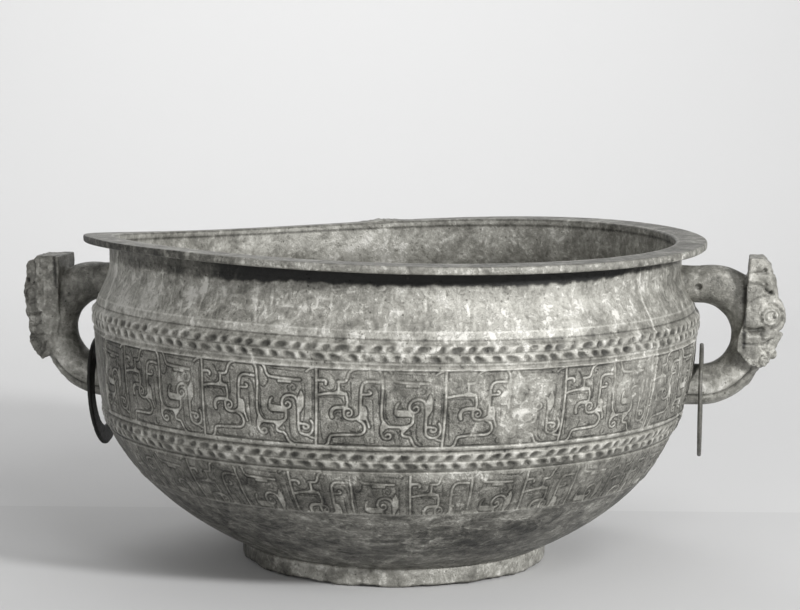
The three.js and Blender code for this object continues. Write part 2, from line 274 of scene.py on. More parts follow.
# Patches on the outer skin as the photograph shows them: degrees round from the front, height,
# half width and half height in millimetres, change of lightness, share of crust, share of wear
patches = [
    (-30, 197, 9, 9, 0.14, 0.7, 0.3), (-41, 203, 34, 9, -0.12, 0.2, 0.1),
    (-48, 188, 40, 12, 0.11, 0.4, 0.2), (-10, 192, 70, 14, 0.07, 0.5, 0.2),
    (20, 190, 70, 16, 0.07, 0.5, 0.3), (48, 192, 60, 18, 0.08, 0.4, 0.5),
    (60, 190, 30, 16, 0.06, 0.3, 0.6), (-20, 176, 60, 3, 0.1, 0.3, 0),
    (15, 176, 90, 3, 0.12, 0.5, 0), (52, 176, 30, 3, -0.03, 0, 0), (34, 171, 24, 3, -0.07, 0, 0),
    (-30, 139, 12, 26, 0.07, 0.9, 0.25), (-18, 113, 34, 7, 0.08, 0.7, 0.2),
    (-50, 140, 34, 30, -0.07, 0.1, 0), (-38, 66, 60, 26, -0.1, 0.1, 0.3),
    (32, 148, 20, 8, 0.11, 0.9, 0.8), (30, 127, 16, 17, 0.08, 0.9, 0.9),
    (38, 135, 22, 14, 0.04, 0.5, 0.2), (11, 147, 20, 10, 0, 0.2, 0.55),
    (21, 148, 14, 8, 0, 0.3, 0.55), (3, 152, 24, 4, 0, 0.2, 0.4),
    (20, 90, 24, 4, 0.17, 1, 0.5), (1, 87, 8, 5, 0.07, 0.6, 0.2),
    (2, 78, 26, 8, -0.05, 0.1, 0), (22, 74, 8, 7, 0.07, 0.6, 0.4), (34, 156, 6, 2, -0.1, 0, 0),
    (22, 63, 9, 6, 0.12, 1, 0.5), (17, 41, 34, 12, 0.04, 1, 0),
    (36, 40, 26, 12, -0.15, 0, 0), (-6, 42, 30, 10, 0.03, 0.6, 0),
    (-33, 40, 30, 14, -0.08, 0.2, 0), (4, 28, 50, 6, -0.06, 0.3, 0),
    (56, 147, 22, 16, 0.04, 0.4, 0.5), (62, 130, 24, 30, 0, 0.2, 0.55),
    (51, 85, 40, 16, -0.02, 0, 0.45), (-60, 90, 30, 20, -0.08, 0, 0.5),
    (10, 166, 24, 6, 0.06, 0.8, 0.5), (30, 166, 16, 6, 0.04, 0.6, 0.5),
    (-62, 140, 14, 40, -0.04, 0, 0.6), (0, 131, 28, 22, 0.05, 0, 0),
    (150, 150, 50, 30, 0.08, 0.8, 0.4), (200, 120, 60, 24, -0.06, 0.3, 0.2),
    (235, 170, 40, 30, 0.06, 0.7, 0.4), (180, 60, 80, 20, -0.05, 0.4, 0.2),
    (170, 195, 70, 14, 0.06, 0.7, 0.3),
]


def patch_marks(azimuth, z):
    """Change of lightness, crust and wear from the patches at each degree and height, and painted
    shadow under the lip.
    """
    base = np.stack([azimuth * DEGREE_WIDTH, z, np.full(len(z), 7.0)], 1)
    edge = 1 + 0.35 * uneven(base, 12, 41) + 0.25 * uneven(base, 4, 42)
    tone, crust, worn = np.zeros(len(z)), np.full(len(z), 0.22), np.zeros(len(z))
    for turn, height, half_width, half_height, change, share, rubbed in patches:
        across = np.radians(signed(azimuth - turn)) * wall_radius(height)
        far = np.hypot(across / half_width, (z - height) / half_height) * edge
        weight = ramp(1.5, 0.4, far)
        tone += change * weight
        crust += share * weight
        worn += rubbed * weight
    # Pale neck and cords, a darker belly, and close under the lip a black band of painted shadow
    # over weaker dark dirt all round
    tone += 0.05 * ramp(158, 162, z)
    tone += 0.07 * ramp(94, 96, z) * ramp(107, 104, z)
    tone -= 0.07 * ramp(92, 84, z) + 0.07 * ramp(60, 50, z)
    left_neck = ramp(-20, -45, azimuth) * ramp(-80, -70, azimuth)
    tone += 0.16 * left_neck * ramp(154, 162, z)
    front = ramp(75, 45, np.abs(azimuth - 3))
    front += ramp(250, 225, np.abs(azimuth - 180) + 180)
    front *= 1 - 0.75 * ramp(-10, -34, azimuth)
    rough_edge = uneven(base, 16, 43) * 0.7 + uneven(base, 5, 44) * 0.6
    rough_edge += 3.0 * ramp(-8, -24, azimuth) - 2.5 * ramp(44, 60, azimuth)
    # Painted shadow under the lip, shaped as the lip's shadow falls, on a weak band of dark dirt
    # all round
    lip_shadow_and_dirt = 0.16 + 0.72 * np.clip(front, 0, 1)
    tone -= lip_shadow_and_dirt * ramp(203.8, 206.8, z + rough_edge)
    return tone, np.clip(crust, 0, 1), np.clip(worn, 0, 1)


# Dragon bands
# Three bands of flat interlaced dragons, cast from one pattern block pressed round and round
# the mould: ribbons with a granular ground, edged by fine smooth lines with a groove beside.
BLOCK_WIDTH = 76.0
BLOCK_HEIGHT = 50.0
LINE_SHARE = 0.5
BAND_EDGE = 0.6
RIBBON_RISE = 0.9
GROOVE_DEPTH = 0.8
CUT_DEPTH = 0.42
MOST_RISE = 1.75
NECK_DEGREE_WIDTH = 3.4
HANDLE_TURN = 90
PLAIN_TURN = -60

# Smooth lines of the block: width, and points across and up it in millimetres
smooth_lines = [
    (1.8, [(0, 50), (0, -2)]),
    (1.6, [(76, 50), (76, -2)]),
    (1.6, [(-1, 0.5), (77, 0.5)]),
    (1.6, [(-1, 48.5), (77, 48.5)]),
    (1.8, [(0, 40.5), (4, 41), (6, 40.3), (5.8, 38.8)]),
    (1.4, [(1.5, 32), (6, 33), (10, 33.3), (17.5, 33)]),
    (1.3, [(13.5, 39.5), (13.5, 35)]),
    (1.4, [(12.8, 40.3), (17.2, 40.3), (18.3, 42), (19.2, 45.5), (21.5, 47.8), (25, 48.5)]),
    (1.5, [(17.5, 33.5), (18.3, 31), (18.5, 27), (18, 25.5)]),
    (2.6, [(18, 25), (11.5, 24.8), (9.4, 23.2), (8.9, 20.5), (9.6, 18.8)]),
    (1.4, [(16.5, 23.5), (16.6, 20), (18, 18.2), (21, 17.6), (24, 18.2), (26, 20)]),
    (0.9, [(16.8, 23.6), (18.6, 24.6), (20.8, 23.8), (21.6, 21.8), (20.6, 19.8), (18.8, 19.8),
           (18.2, 21.4), (19.6, 22)]),
    (1.6, [(26.3, 26), (26.6, 38), (28.5, 40.7), (32, 41.2), (37, 40.8)]),
    (1.5, [(25, 17.6), (28, 16), (29.5, 13), (29, 10), (26.5, 8.4), (21, 8.2), (10, 7.8),
           (8.3, 6.5), (7.8, 2.5), (6, 0.9)]),
    (1.1, [(27, 33.2), (31.8, 33.2), (32.6, 34.6), (31.2, 35.3)]),
    (1.5, [(36.8, 48.3), (38.6, 45.5), (38.9, 41), (39.3, 36), (38.6, 28), (38.7, 20),
           (39.8, 17), (42.5, 14)]),
    (1.6, [(42, 13.8), (57.3, 13.6), (57.3, 22)]),
    (1.4, [(52, 13.5), (51.3, 11), (51.5, 8.6), (53, 7.8), (56.3, 7.6), (57.5, 5), (59, 2.2),
           (61.5, 0.8)]),
    (1.2, [(38.9, 12), (39.2, 9), (40.6, 6.6), (43.2, 5.9), (45, 7.2), (44.6, 9), (42.6, 9.3),
           (41.8, 8.3)]),
    (1.5, [(57.2, 22.3), (55.2, 24), (54.6, 27), (56.5, 30), (60, 31), (63.3, 30), (65, 27),
           (65, 10.5), (66.4, 7.8), (69.6, 6.7), (72.8, 7.7), (74.2, 10.6), (74, 14.2),
           (72.8, 16)]),
    (1, [(55, 27.6), (54.6, 25), (56, 22.9), (58.6, 22.6), (60.4, 24.2), (60, 26.2),
           (58.2, 26.7), (57.3, 25.4)]),
    (1, [(71, 6.8), (73.4, 5.4), (76, 5)]),
    (1.2, [(47, 23), (47, 26.5), (48.5, 28.3)]),
    (1.5, [(65, 13.8), (70.3, 13.6), (71.6, 12.2), (70.5, 10.6), (68.6, 10.9), (68.2, 12)]),
    (1, [(30, 18), (31, 15.6), (31.8, 13.2)]),
    (1.5, [(42.5, 48.5), (44.5, 46), (45.3, 42.3), (47.5, 40.8), (66, 40.2)]),
    (1.8, [(53, 38.8), (60, 38.8)]),
    (0.9, [(70, 45.5), (72, 47.2), (75.5, 48.2)]),
]
# Plain wedges where lines meet or swell
smooth_wedges = [
    [(10, 33.3), (13, 35), (13.3, 39), (13.7, 35), (17.5, 33.5)],
    [(26, 26), (29, 25.5), (30, 23), (30, 17.8), (24.5, 18.3), (26, 20.5)],
    [(39.5, 16.5), (44, 13.8), (41, 12.5), (39, 9.5), (38.5, 13)],
    [(49.5, 13.5), (55, 13.5), (52.3, 10.5)],
    [(46.5, 24), (56.5, 23.5), (57, 20.5), (48, 20.6), (46.5, 22)],
    [(65, 29.5), (66.8, 33.5), (68.2, 30), (68, 24.5), (66, 21), (65, 24)],
]
# Plain cuts that round off the ends of the ribbons and curl inside them
ribbon_cuts = [
    [(8.5, 45), (10.4, 43), (11.5, 39.5), (11.2, 36.4), (9, 34.9), (6, 35.4), (3.4, 37.2)],
    [(14.9, 38.6), (15.1, 36.2), (16.8, 34.9), (19.4, 35)],
    [(23.4, 44.6), (21.6, 45.8), (20.4, 44.2), (21.2, 42.6), (22.6, 43.2)],
    [(10.9, 19.4), (11.9, 21.6), (14, 22.2), (15.3, 20.6), (15.2, 18.2)],
    [(20.5, 10.6), (23.5, 9.9), (26.3, 10.6), (27.7, 12.6), (27.2, 15), (25, 16.2)],
    [(27.8, 36.5), (28.9, 39), (31.6, 39.7), (35, 38.2), (36.8, 34.6), (37, 29.5), (36.8, 22)],
    [(40.3, 46.5), (40.5, 38), (41.4, 35.2), (43.6, 34.6), (45.6, 36.4), (46.4, 39.4)],
    [(41.2, 33.5), (41, 22), (42, 18.8), (44.4, 15.8)],
    [(66.6, 39), (67.6, 35.8), (66.4, 32.6), (63.6, 31.6)],
    [(59.2, 33.4), (58.2, 35.6), (59.6, 38), (62.4, 38.2), (64.2, 36.2), (63.4, 33.8),
     (61.4, 33.6), (60.6, 35.2), (61.8, 36.2)],
    [(48.8, 28.8), (49.2, 26.2), (51.2, 25.1), (53.2, 25.5)],
    [(52.4, 11.8), (54.6, 12.4), (56.8, 11.4), (56.9, 9.2)],
    [(40.3, 9.8), (41.4, 12), (44.6, 12.3), (48, 11.6), (49.7, 9.2), (49.8, 6.6)],
    [(46.8, 9.4), (46.6, 6.4), (47.6, 4.4)], [(59.6, 21), (59.6, 8), (61.4, 4.6), (64, 3)],
    [(69, 38), (69.4, 30), (69, 22), (68.4, 16)], [(73.6, 42), (73.8, 30), (73.6, 18)],
    [(70.4, 43.8), (72.2, 45.6), (75.4, 46.4)],
    [(33, 6.6), (32.2, 4.2), (33.6, 2.6), (35.6, 3.4), (35.4, 5)],
    [(9.8, 6), (10, 3.2), (12, 2.4), (30, 2.4)], [(2, 30.5), (8, 31), (15, 31), (16.2, 28)],
    [(12, 16), (13.4, 13), (12, 10)], [(2.2, 22), (2.6, 12), (4, 5)],
    [(47, 46.2), (60, 45.4), (68, 45)], [(20.4, 40), (20.8, 34), (20.6, 27)],
    [(33.4, 30), (33.8, 20), (35, 10)],
]


def rounded(points):
    """The same line with its corners cut twice, as a worn pattern has them."""
    line = np.array(points, float)
    for _ in range(2 if len(line) > 2 else 0):
        cut = np.empty((2 * len(line) - 2, 2))
        cut[0::2] = line[:-1] * 0.75 + line[1:] * 0.25
        cut[1::2] = line[:-1] * 0.25 + line[1:] * 0.75
        line = np.concatenate([line[:1], cut, line[-1:]])
    return line


def line_distance(x, y, line):
    """Distance from each place to the nearest part of a line of points."""
    nearest = np.full(x.shape, 1e9)
    for (ax, ay), (bx, by) in zip(line[:-1], line[1:]):
        length = (bx - ax) ** 2 + (by - ay) ** 2
        along = np.clip(((x - ax) * (bx - ax) + (y - ay) * (by - ay)) / length, 0, 1)
        gap = np.hypot(x - ax - along * (bx - ax), y - ay - along * (by - ay))
        nearest = np.minimum(nearest, gap)
    return nearest


def block_field(step=0.2):
    """Distance from every spot of the block to its nearest smooth line or wedge, and cut."""
    x, y = np.meshgrid(np.arange(0, BLOCK_WIDTH + step, step), np.arange(0, BLOCK_HEIGHT, step))
    field = np.full(x.shape, 1e9)
    for width, points in smooth_lines:
        field = np.minimum(field, line_distance(x, y, rounded(points)) - width * LINE_SHARE / 2)
    for corners in smooth_wedges:
        edge = corners + corners[:1]
        inside = np.zeros(x.shape, bool)
        for (ax, ay), (bx, by) in zip(edge[:-1], edge[1:]):
            if ay != by:
                inside ^= ((ay > y) != (by > y)) & (x < (bx - ax) * (y - ay) / (by - ay) + ax)
        gap = line_distance(x, y, np.array(edge, float))
        field = np.minimum(field, np.where(inside, -gap, gap))
    cuts = np.full(x.shape, 1e9)
    for points in ribbon_cuts:
        cuts = np.minimum(cuts, line_distance(x, y, rounded(points)))
    return field, np.where(field < 1.3, 9, cuts), step


line_field, cut_field, field_step = block_field()


def dragon_relief(azimuth, y, start, turn):
    """Distances to the lines and cuts where a band shows the block, from degrees and height."""
    across = ((azimuth - start) % turn) / turn * BLOCK_WIDTH / field_step
    up = np.clip(y / field_step, 0, line_field.shape[0] - 1.001)
    across = np.clip(across, 0, line_field.shape[1] - 1.001)
    i, j = up.astype(int), across.astype(int)
    a, b = up - i, across - j
    return [(field[i, j] * (1 - b) + field[i, j + 1] * b) * (1 - a)
            + (field[i + 1, j] * (1 - b) + field[i + 1, j + 1] * b) * a
            for field in (line_field, cut_field)]


# Each band: bottom, top, block height at its bottom, start and width of a block in degrees, wear
bands = [
    (108, 156.5, 0, -4.6, 21.8, 0), (63.6, 90.3, 19.6, -10.2, 22.5, 0.15),
    (180, 206, 11, -2.6, 22.5, 0.6),
]
# Plaited cords: bottom, middle and top; and the mould lines: degrees round, half width, sway
cords = [(94.3, 99.5, 104.8), (160.6, 166.2, 171.8)]
mould_lines = [(-59, 2.1, 2), (61.5, 0.8, 0.6), (118.5, 1, 1), (-119.5, 1, 1.3)]
# Bits of pale line left on the worn neck: degrees round and height of their ends
neck_bits = [
    (-17, 192, -16, 181), (-11.5, 192.5, -11.3, 190.4), (-11.3, 190.4, -9.6, 190),
    (21.4, 193, 21.5, 188), (36, 192, 37.6, 192), (-24, 198, -23.4, 193), (-33, 188, -32.6, 181),
    (8, 190, 10, 190), (14, 197, 14, 191), (30, 186, 30.2, 180.5), (44, 194, 44.2, 188),
    (-5, 196, -3, 195.6), (-5, 196, -5.2, 190),
]
# Plain lines: height, half width, rise
plain_lines = [
    (173.9, 0.5, -0.5), (159.7, 0.55, 0.5), (156.9, 0.6, 0.7), (107.3, 0.7, 0.7),
    (105.8, 0.5, -0.5), (92.9, 0.5, -0.5), (91.8, 0.5, 0.4), (63, 0.7, 0.6), (178.7, 0.5, 0.3),
]


def band_relief(azimuth, z, wear, band):
    """Rise and marks of one dragon band at each degree and height."""
    bottom, top, block_y, start, turn, worn = band
    left = ramp(bottom - BAND_EDGE, bottom, z) * ramp(top + BAND_EDGE, top, z)
    left *= np.clip(1 - worn - wear, 0.04, 1)
    near_handle = np.abs(signed(np.abs(signed(azimuth)) - HANDLE_TURN))
    left *= ramp(6.2, 7.4, near_handle)
    left *= 1 - ramp(PLAIN_TURN, PLAIN_TURN - 1.5, azimuth) * (azimuth > -HANDLE_TURN - 1)
    gap, cut = dragon_relief(azimuth, z - bottom + block_y, start, turn)
    spot = np.stack([azimuth * DEGREE_WIDTH, z, np.full(len(z), 5.0)], 1)
    patchy = 0.72 + 0.5 * uneven(spot, 8, 8) + 0.2 * uneven(spot, 2.5, 9)
    patchy = np.clip(patchy, 0.1, 1.1)
    notch = peak(gap, 0.76, 0.42)
    shallow = peak(cut, 0, 0.42)
    rise = left * (RIBBON_RISE - GROOVE_DEPTH * notch - CUT_DEPTH * shallow)
    pale = left ** 0.6 * ramp(0.42, 0.02, gap) * patchy
    pale += left * peak(cut, 0.85, 0.3) * 0.16 * patchy
    groove = left * (notch + 0.85 * shallow) * (1.25 - 0.35 * patchy)
    return rise, pale, groove, left * ramp(0.9, 1.4, gap)


CORD_RISE = 1.7
HOLLOW_DEPTH = 1.5
STRAND_TURN = 2.7


def cord_relief(azimuth, z, wear, low, high, slant, seed):
    """Rise and marks of one row of a plaited cord, its hollows slanting up or down."""
    across = (z - (low + high) / 2) / ((high - low) / 2)
    strand = azimuth / STRAND_TURN + slant * across * 0.16 + (0.5 if slant > 0 else 0)
    strand += 0.1 * np.sin(azimuth * 1.3 + seed) + 0.08 * np.sin(azimuth * 0.47 + low)
    off = strand - np.round(strand)
    hollow = np.exp(-(((off / 0.3) ** 2 + ((across + 0.1) / 0.72) ** 2) ** 1.5))
    swell = np.sqrt(np.clip(1 - np.abs(across) ** 2.4, 0, 1))
    kept = np.clip(0.92 - 0.6 * wear + 0.14 * np.sin(azimuth * 1.9 + low), 0.25, 1)
    groove = kept * np.clip(1.15 * hollow + 0.3 * (1 - swell), 0, 1)
    pale = 0.7 * swell * np.clip(1 - 2.2 * hollow, 0, 1)
    return swell * (CORD_RISE - HOLLOW_DEPTH * kept * hollow), pale, groove


def outside_relief(azimuth, z, wear):
    """Rise of the cast ornament in millimetres, and its marks, at each degree and height."""
    rise, pale, groove, grain = np.zeros((4, len(z)))
    for band in bands:
        here = (z > band[0] - BAND_EDGE) & (z < band[1] + BAND_EDGE)
        parts = band_relief(azimuth[here], z[here], wear[here], band)
        for total, part in zip((rise, pale, groove, grain), parts):
            total[here] += part
    for bottom, middle, top in cords:
        for low, high, slant in ((bottom, middle, 1), (middle, top, -1)):
            here = (z > low) & (z < high)
            parts = cord_relief(azimuth[here], z[here], wear[here], low, high, slant, bottom)
            for total, part in zip((rise, pale, groove), parts):
                total[here] += part
    for turn, half_width, sway in mould_lines:
        off = signed(azimuth - turn) + sway * np.sin((z - 172) / 42 * np.pi) * (z > 130)
        weight = peak(off * DEGREE_WIDTH, 0, half_width)
        weight *= ramp(100, 112, z) * ramp(213, 208, z)
        rise += 0.5 * weight
        pale += (0.7 + half_width * 0.5) * weight
    neck = (z > 178) & (z < 200) & (np.abs(azimuth) < 60)
    round_neck = azimuth[neck] * NECK_DEGREE_WIDTH
    for turn, height, to_turn, to_height in neck_bits:
        bit = [(turn * NECK_DEGREE_WIDTH, height), (to_turn * NECK_DEGREE_WIDTH, to_height)]
        pale[neck] += 1.2 * peak(line_distance(round_neck, z[neck], bit), 0, 0.65)
    for height, half_width, lift in plain_lines:
        weight = peak(z, height, half_width)
        rise += lift * weight
        groove += weight * (0.8 if lift < 0 else 0)
        pale += weight * (0.6 if lift > 0 else 0)
    return rise, {"pale": np.clip(pale, 0, 1), "groove": np.clip(groove, 0, 1), "grain": grain}


side_halves = {
    "front": [("front_left", -90, 0), ("front_right", 0, 90)], "back": [("back", 90, 270)],
}


def outside_piece(name, low, high, step_round, step_up, start, end, finish=basin_bronze):
    """A part of the outer wall with its cast ornament, from one turn in degrees to another."""
    radius = float(wall_radius((low + high) / 2))
    turns = np.linspace(start, end, int(radians(end - start) * radius / step_round) + 1)
    heights = np.linspace(low, high, int((high - low) / step_up) + 1)
    azimuth, z = (a.ravel() for a in np.meshgrid(turns, heights))
    angle = np.radians(azimuth - 90)
    plain = np.stack([np.cos(angle) * wall_radius(z), np.sin(angle) * wall_radius(z), z], 1)
    wear = np.clip(uneven(plain, 46, 3) * 0.4 - 0.25, 0, 1)
    wear += np.clip(uneven(plain, 9, 4) * 0.3 - 0.12, 0, 1)
    tone, crust, worn = patch_marks(azimuth, z)
    rise, marks = outside_relief(azimuth, z, wear + worn)
    marks["tone"], marks["crust"] = tone, crust
    rise += uneven(plain, 30, 5) * 0.15 + uneven(plain, 5, 6) * 0.08
    r = wall_radius(z) + np.minimum(rise, MOST_RISE)
    points = np.stack(cast_warp(np.cos(angle) * r, np.sin(angle) * r, z), 1)
    faces = sheet_faces(len(heights), len(turns))
    bronze_piece(name, points, faces, marks, finish)


# Each part of the wall: its name, bottom, top, and its mesh steps round and up, coarser behind
wall_parts = [
    ("lower_band", 61.5, 94.0, 0.7, 0.62), ("neck_band", 171.5, 213.2, 0.85, 0.8),
    ("upper_cord", 159.0, 171.5, 0.64, 0.58), ("lower_cord", 94.0, 106.0, 0.64, 0.58),
    ("belly", BELLY_FOOT, 61.5, 1.2, 1.0),
]
for side, coarse in (("front", 1.0), ("back", 2.2)):
    for half, start, end in side_halves[side]:
        outside_piece(f"basin_main_band_{half}", 106.0, 159.0, 0.5 * coarse, 0.48 * coarse,
                      start, end)
    start, end = side_halves[side][0][1], side_halves[side][-1][2]
    for part, low, high, step_round, step_up in wall_parts:
        outside_piece(f"basin_{part}_{side}", low, high, step_round * coarse, step_up * coarse,
                      start, end, belly_bronze if part == "belly" else basin_bronze)


# Lip, inside and foot
# The flat lip turns out over the neck, the inside is plain and smooth, and the plain foot ring
# stands square under the bowl. All are part of the same casting, with chipped and worn edges.
def inner_wall(z):
    """Radius and height of the inside, the wall's thickness in from a height outside."""
    slope = wall_radius(z + 0.5) - wall_radius(z - 0.5)
    length = np.hypot(1, slope)
    return wall_radius(z) - WALL / length, z + WALL * slope / length


def turned_points(profile, columns, roughness, seed):
    """Points turned about the upright axis from a profile of radii and heights, in rows.

    Also gives each point's turn in degrees, its share of unevenness, and the faces."""
    rows = np.array(profile, float)
    turns = np.linspace(-180, 180, columns, endpoint=False)
    azimuth = np.tile(turns, len(rows))
    angle = np.radians(azimuth - 90)
    r = np.repeat(rows[:, 0], columns)
    z = np.repeat(rows[:, 1], columns)
    base = np.stack([np.cos(angle) * r, np.sin(angle) * r, z], 1)
    swell = (uneven(base, 26, seed) * 0.6 + uneven(base, 6, seed + 1) * 0.4) * roughness
    return base, azimuth, swell, sheet_faces(len(rows), columns, closed=True)


def rows_between(points, step):
    """Points along a profile, no more than a step apart."""
    out = []
    for (r0, z0), (r1, z1) in zip(points[:-1], points[1:]):
        count = max(1, int(hypot(r1 - r0, z1 - z0) / step))
        out += [(r0 + (r1 - r0) * i / count, z0 + (z1 - z0) * i / count) for i in range(count)]
    return out + [points[-1]]


LIP_THICKNESS = 4.8
MOUTH_RADIUS = 189.1
HIGHEST = 222.0
lip_bottom = RIM_HEIGHT - LIP_THICKNESS
lip_outline = [
    (NECK_RADIUS - 0.3, lip_bottom), (NECK_RADIUS + 1, lip_bottom), (208.6, lip_bottom + 0.1),
    (209.5, lip_bottom + 0.6), (209.8, lip_bottom + 1.3), (209.9, RIM_HEIGHT - 1.2),
    (209.6, RIM_HEIGHT - 0.4), (208.9, RIM_HEIGHT - 0.05), (190.6, RIM_HEIGHT - 0.1),
    (189.4, RIM_HEIGHT - 0.6), (MOUTH_RADIUS, RIM_HEIGHT - 1.6),
]
base, turn, swell, faces = turned_points(rows_between(lip_outline, 1.6), 640, 0.3, 11)
x, y, z = base.T
away = np.hypot(x, y)
chips = np.clip(uneven(base, 7, 13) - 0.9, 0, 1) * ramp(207, 209.5, away) * 1.6
scale = 1 - (chips + np.clip(swell, 0, 1) * ramp(206, 209, away)) / away
lump = peak(turn, -168, 3.6) * ramp(RIM_HEIGHT - 2, RIM_HEIGHT - 0.3, z)
rough_top = lump * (1.5 + uneven(base, 5, 15) * 0.8)
points = np.stack(cast_warp(x * scale, y * scale, z - chips * 0.3 + rough_top), 1)
points[:, 2] = np.minimum(points[:, 2], HIGHEST)
rim_face = ramp(208.8, 209.4, away)
dark_left = rim_face * ramp(-8, -40, turn) * ramp(-100, -80, turn)
marks = {"tone": -0.05 + 0.12 * rim_face - 0.34 * dark_left + uneven(base, 12, 16) * 0.05
         + 0.1 * lump,
         "pale": 0.7 * peak(away, 190.3, 0.7), "crust": 0.3 + 0.6 * rim_face}
bronze_piece("basin_lip", points, faces, marks, basin_bronze)

inside_heights = np.concatenate([np.linspace(RIM_HEIGHT - 1.6, 205, 14), np.linspace(203, 40, 54),
                                 np.linspace(38, 19, 10)])
inside = [(MOUTH_RADIUS, RIM_HEIGHT - 1.6)]
inside += [tuple(float(v) for v in inner_wall(z)) for z in inside_heights[1:]]
inside += [(r, 12.2 + 0.5 * (r / 90) ** 4 + max(0, r - 80) * 0.06)
           for r in (92, 84, 74, 62, 50, 38, 26, 14, 6, 0.5)]
base, turn, swell, faces = turned_points(inside, 260, 0.35, 21)
x, y, z = base.T
scale = 1 - np.clip(swell, -0.3, 0.3) / np.maximum(np.hypot(x, y), 20)
points = np.stack(cast_warp(x * scale, y * scale, z), 1)
# A groove under the lip, painted shade on the front and right of the inside, and a painted streak
# of light that runs down the far wall
streak = (turn + 171 - (216 - z) * 0.52) * 3.3 + uneven(base, 9, 24) * 3
tone = 0.17 - 0.16 * ramp(70, 130, np.abs(signed(turn + 130)))
tone += 0.16 * peak(streak, 0, 8) * ramp(150, 175, z) + uneven(base, 24, 23) * 0.05
marks = {"tone": tone, "crust": np.full(len(points), 0.5),
         "groove": peak(z, RIM_HEIGHT - 5.2, 0.9)}
bronze_piece("basin_inside", points, faces, marks, basin_bronze)

FOOT_RADIUS = 104.0
foot_outline = [
    (96, 8), (97, 7.5), (97, 0.6), (97.6, 0.1), (102.6, 0.1), (103.6, 0.8),
    (FOOT_RADIUS, 2.2), (FOOT_RADIUS, 11.2), (103.4, 12.6), (101.5, 13.6),
    (float(wall_radius(BELLY_FOOT)), BELLY_FOOT),
]
under = [(r, 8) for r in (0.5, 16, 32, 48, 64, 80, 90)]
base, turn, swell, faces = turned_points(under + rows_between(foot_outline, 1.5), 360, 0.5, 31)
x, y, z = base.T
away = np.hypot(x, y)
dent = np.clip(swell, -0.1, 0.8) * ramp(100, 103.5, away)
scale = 1 - dent / np.maximum(away, 20)
# The lower edge is uneven and stands on a lump a little right of the front
low_edge = ramp(4.5, 0.5, z) * ramp(96, 97, away)
lift = 1.1 + uneven(base, 30, 34) * 0.9 + uneven(base, 8, 35) * 0.5
lift = np.clip(lift * (1 - peak(turn, 8, 5)), 0, 2.4) * low_edge
points = np.stack(cast_warp(x * scale, y * scale, np.maximum(z, 0.02) + lift), 1)
tone = 0.1 + 0.1 * peak(turn, -18, 9) + 0.08 * peak(turn, 24, 12) - 0.12 * peak(turn, 40, 5)
tone -= 0.27 * ramp(-22, -45, turn) * ramp(-130, -100, turn)
# The lowest 2.2 mm are darkened: painted shade where the foot meets the table
tone += uneven(base, 14, 33) * 0.08 - 0.2 * ramp(2.2, 0, z)
tone += 0.12 * peak(z, 11.4, 1.2) * ramp(0, -12, turn)
marks = {"tone": tone, "crust": np.full(len(points), 0.7)}
bronze_piece("basin_foot", points, faces, marks, basin_bronze)


# Handles
# Each handle is a thick round loop, cast apart and joined to the wall, with an animal mask on
# its outside. Points here are those of the right one; the left one hangs lower and tilts.
HOLE_X, HOLE_Z = 205.5, 157.8
HOLE_RADIUS = 20.6
ARM_RADIUS = 12.4
MASK_BACK = 235.0
MASK_DEPTH = 26.0
MASK_HALF_WIDTH = 19.0
RIB_RADIUS = 40.6
LEFT_DROP = 6.5
LEFT_TILT = 2.5
LEFT_SHIFT = 1.2
SKIN_STEP = 0.86


def tube_faces(rings, sides):
    """Faces of a closed tube of rings of points, with one face over each end."""
    last = (rings - 1) * sides
    ends = [list(range(sides))[::-1], [last + i for i in range(sides)]]
    return sheet_faces(rings, sides, closed=True).tolist() + ends


def round_bar(centres, widths, depths, sides=30):
    """A closed bar through centres in the upright plane, with its half widths and depths."""
    centres = np.array(centres, float)
    run = np.gradient(centres, axis=0)
    run /= np.linalg.norm(run, axis=1)[:, None]
    out = np.stack([-run[:, 1], run[:, 0]], 1)
    turn = np.linspace(0, 2 * np.pi, sides, endpoint=False)
    widths = np.asarray(widths, float)[:, None] * np.cos(turn)
    depths = np.asarray(depths, float)[:, None] * np.sin(turn)
    x = centres[:, :1] + out[:, :1] * widths
    z = centres[:, 1:] + out[:, 1:] * widths
    points = np.stack([x.ravel(), depths.ravel(), z.ravel()], 1)
    return points, tube_faces(len(centres), sides)


def knob(x, y, z, rx, ry, rz, sides=20, rings=12):
    """A closed rounded lump at a place, with its three half sizes."""
    up = np.linspace(-np.pi / 2, np.pi / 2, rings + 2)[1:-1]
    turn = np.linspace(0, 2 * np.pi, sides, endpoint=False)
    a, b = np.meshgrid(turn, up)
    points = np.stack([np.cos(a) * np.cos(b), np.sin(a) * np.cos(b), np.sin(b)], -1).reshape(-1, 3)
    return points * (rx, ry, rz) + (x, y, z), tube_faces(rings, sides)


def mask_width(x, z, merge):
    """Half width of the mask, narrow at its snout and where its back merges into the arm."""
    width = MASK_HALF_WIDTH * (1 - 0.6 * np.clip((x - MASK_BACK) / MASK_DEPTH, 0, 1) ** 1.5)
    return width - merge * ramp(192, 168, z) * ramp(252, 240, x)


def mask_block(outline, merge):
    """The mask's block: its side view, as broad as the mask is at each depth."""
    edge = np.array(outline, float)
    count = len(edge)
    width = mask_width(edge[:, 0], edge[:, 1], merge)
    halves = [np.stack([edge[:, 0], width * side, edge[:, 1]], 1) for side in (-1, 1)]
    sides = [[i, (i + 1) % count, count + (i + 1) % count, count + i] for i in range(count)]
    ends = [list(range(count))[::-1], list(range(count, 2 * count))]
    return np.concatenate(halves), sides + ends


